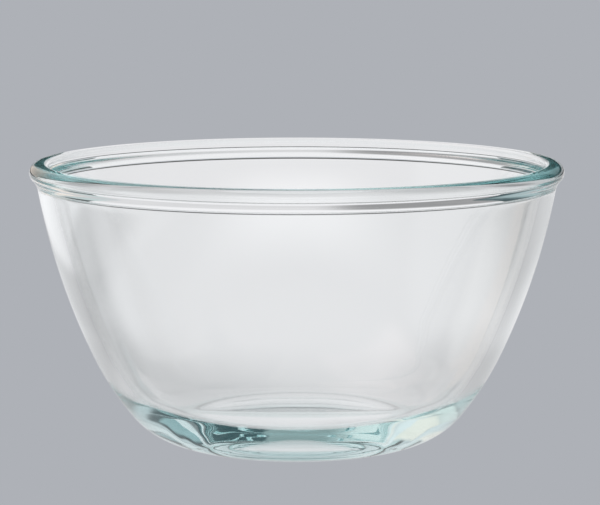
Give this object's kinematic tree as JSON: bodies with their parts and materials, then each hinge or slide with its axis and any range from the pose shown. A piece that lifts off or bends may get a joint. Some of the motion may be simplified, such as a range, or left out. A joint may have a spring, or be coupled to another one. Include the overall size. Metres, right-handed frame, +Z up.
{
  "type": "mixing bowl",
  "caption": "Deep round mixing bowl in clear pressed glass, with a rolled lip, gently curved tapering sides and a thick flat foot.",
  "frame": {"origin": "centre of the foot, on the surface that the bowl stands on", "axes": "+Z up along the bowl's axis of revolution; X and Y lie in the standing surface, and -Y is the side seen in the picture"},
  "size_m": [0.21, 0.21, 0.111],
  "materials": {
    "clear_glass": "clear pressed glass with a faint blue-green tint, fire-polished"
  },
  "bodies": {
    "root": {"bowl": "clear_glass"}
  },
  "joints": []
}
